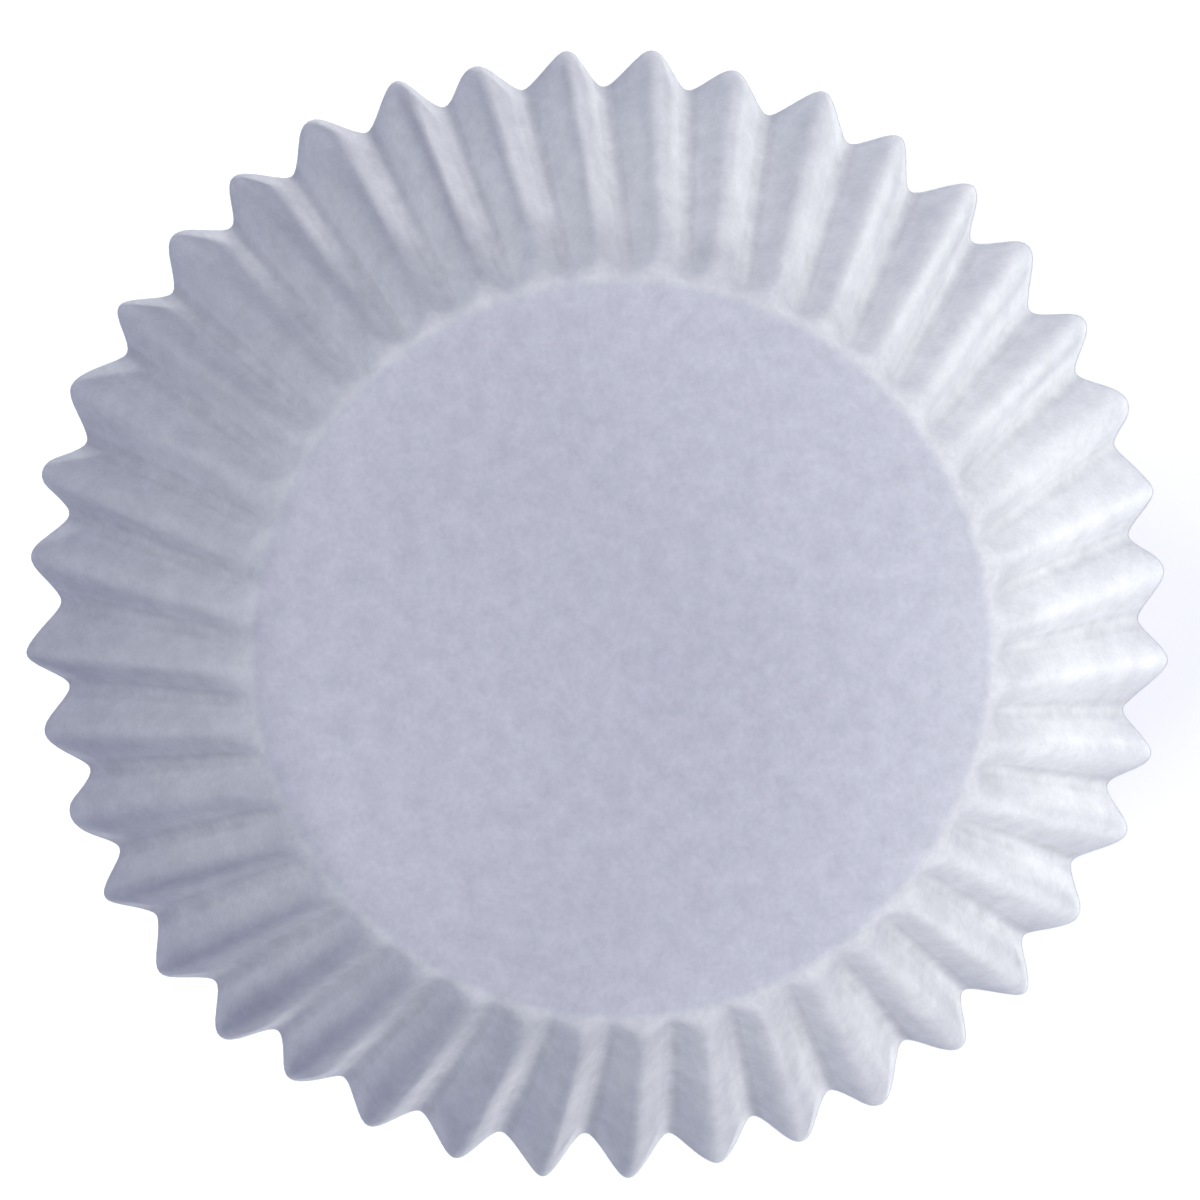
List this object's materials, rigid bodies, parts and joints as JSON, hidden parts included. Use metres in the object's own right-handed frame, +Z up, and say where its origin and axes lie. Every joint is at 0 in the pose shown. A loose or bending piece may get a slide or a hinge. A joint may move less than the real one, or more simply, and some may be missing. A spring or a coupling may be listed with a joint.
{
  "type": "cupcake liner",
  "caption": "Round pleated paper baking cup with a flat base and a flared, toothed rim, used to line one cup of a muffin tin and hold the batter.",
  "frame": {"origin": "centre of the underside of the flat base", "axes": "+Z up through the open mouth; the outer fold of one pleat is centred on +X"},
  "size_m": [0.072, 0.072, 0.0306],
  "materials": {
    "paper": "matt white greaseproof paper"
  },
  "bodies": {
    "root": {"liner": "paper"}
  },
  "joints": []
}
